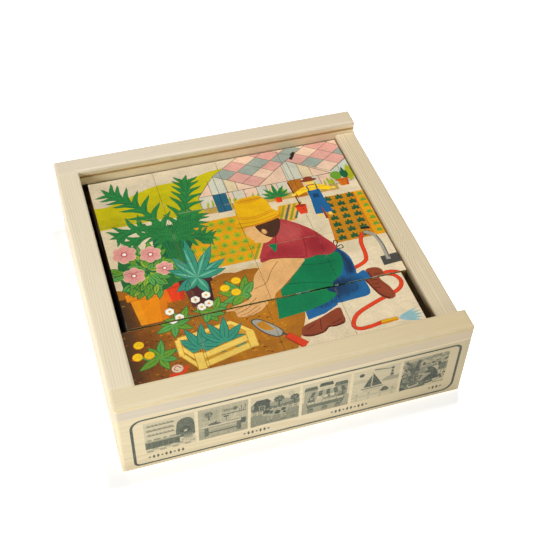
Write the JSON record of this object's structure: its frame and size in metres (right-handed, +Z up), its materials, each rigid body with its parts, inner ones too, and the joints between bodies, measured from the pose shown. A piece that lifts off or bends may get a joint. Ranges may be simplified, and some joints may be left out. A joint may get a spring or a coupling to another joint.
{
  "type": "picture block puzzle",
  "caption": "Flat square wooden box with loose picture cubes in a grid, one low side wall and grooves for a sliding lid",
  "frame": {"origin": "centre of the box's footprint, on the plane that the box stands on", "axes": "+Z up out of the open top, -Y towards the printed front board, +X towards the low wall where a lid slides in"},
  "size_m": [0.1916, 0.1916, 0.0555],
  "materials": {
    "spruce": "planed softwood, pale and matt, edges rounded by sanding",
    "plywood": "sanded birch plywood, matt",
    "dowel_beech": "turned beech, matt",
    "printed_block": "fine-grained wood with coloured pictures printed on all faces, clear matt coat"
  },
  "bodies": {
    "box": {"front_board": "spruce", "rear_board": "spruce", "left_wall": "spruce", "right_wall": "spruce", "bottom_panel": "plywood", "corner_dowels": "dowel_beech"},
    "block_r1_c1": {"block_r1_c1": "printed_block"},
    "block_r1_c2": {"block_r1_c2": "printed_block"},
    "block_r1_c3": {"block_r1_c3": "printed_block"},
    "block_r1_c4": {"block_r1_c4": "printed_block"},
    "block_r2_c1": {"block_r2_c1": "printed_block"},
    "block_r2_c2": {"block_r2_c2": "printed_block"},
    "block_r2_c3": {"block_r2_c3": "printed_block"},
    "block_r2_c4": {"block_r2_c4": "printed_block"},
    "block_r3_c1": {"block_r3_c1": "printed_block"},
    "block_r3_c2": {"block_r3_c2": "printed_block"},
    "block_r3_c3": {"block_r3_c3": "printed_block"},
    "block_r3_c4": {"block_r3_c4": "printed_block"},
    "block_r4_c1": {"block_r4_c1": "printed_block"},
    "block_r4_c2": {"block_r4_c2": "printed_block"},
    "block_r4_c3": {"block_r4_c3": "printed_block"},
    "block_r4_c4": {"block_r4_c4": "printed_block"}
  },
  "joints": [
    {"name": "lift_r1_c1", "type": "slide", "parent": "box", "child": "block_r1_c1", "axis": [0, 0, 1], "range_m": [0, 0.06]},
    {"name": "lift_r1_c2", "type": "slide", "parent": "box", "child": "block_r1_c2", "axis": [0, 0, 1], "range_m": [0, 0.06]},
    {"name": "lift_r1_c3", "type": "slide", "parent": "box", "child": "block_r1_c3", "axis": [0, 0, 1], "range_m": [0, 0.06]},
    {"name": "lift_r1_c4", "type": "slide", "parent": "box", "child": "block_r1_c4", "axis": [0, 0, 1], "range_m": [0, 0.06]},
    {"name": "lift_r2_c1", "type": "slide", "parent": "box", "child": "block_r2_c1", "axis": [0, 0, 1], "range_m": [0, 0.06]},
    {"name": "lift_r2_c2", "type": "slide", "parent": "box", "child": "block_r2_c2", "axis": [0, 0, 1], "range_m": [0, 0.06]},
    {"name": "lift_r2_c3", "type": "slide", "parent": "box", "child": "block_r2_c3", "axis": [0, 0, 1], "range_m": [0, 0.06]},
    {"name": "lift_r2_c4", "type": "slide", "parent": "box", "child": "block_r2_c4", "axis": [0, 0, 1], "range_m": [0, 0.06]},
    {"name": "lift_r3_c1", "type": "slide", "parent": "box", "child": "block_r3_c1", "axis": [0, 0, 1], "range_m": [0, 0.06]},
    {"name": "lift_r3_c2", "type": "slide", "parent": "box", "child": "block_r3_c2", "axis": [0, 0, 1], "range_m": [0, 0.06]},
    {"name": "lift_r3_c3", "type": "slide", "parent": "box", "child": "block_r3_c3", "axis": [0, 0, 1], "range_m": [0, 0.06]},
    {"name": "lift_r3_c4", "type": "slide", "parent": "box", "child": "block_r3_c4", "axis": [0, 0, 1], "range_m": [0, 0.06]},
    {"name": "lift_r4_c1", "type": "slide", "parent": "box", "child": "block_r4_c1", "axis": [0, 0, 1], "range_m": [0, 0.06]},
    {"name": "lift_r4_c2", "type": "slide", "parent": "box", "child": "block_r4_c2", "axis": [0, 0, 1], "range_m": [0, 0.06]},
    {"name": "lift_r4_c3", "type": "slide", "parent": "box", "child": "block_r4_c3", "axis": [0, 0, 1], "range_m": [0, 0.06]},
    {"name": "lift_r4_c4", "type": "slide", "parent": "box", "child": "block_r4_c4", "axis": [0, 0, 1], "range_m": [0, 0.06]}
  ]
}
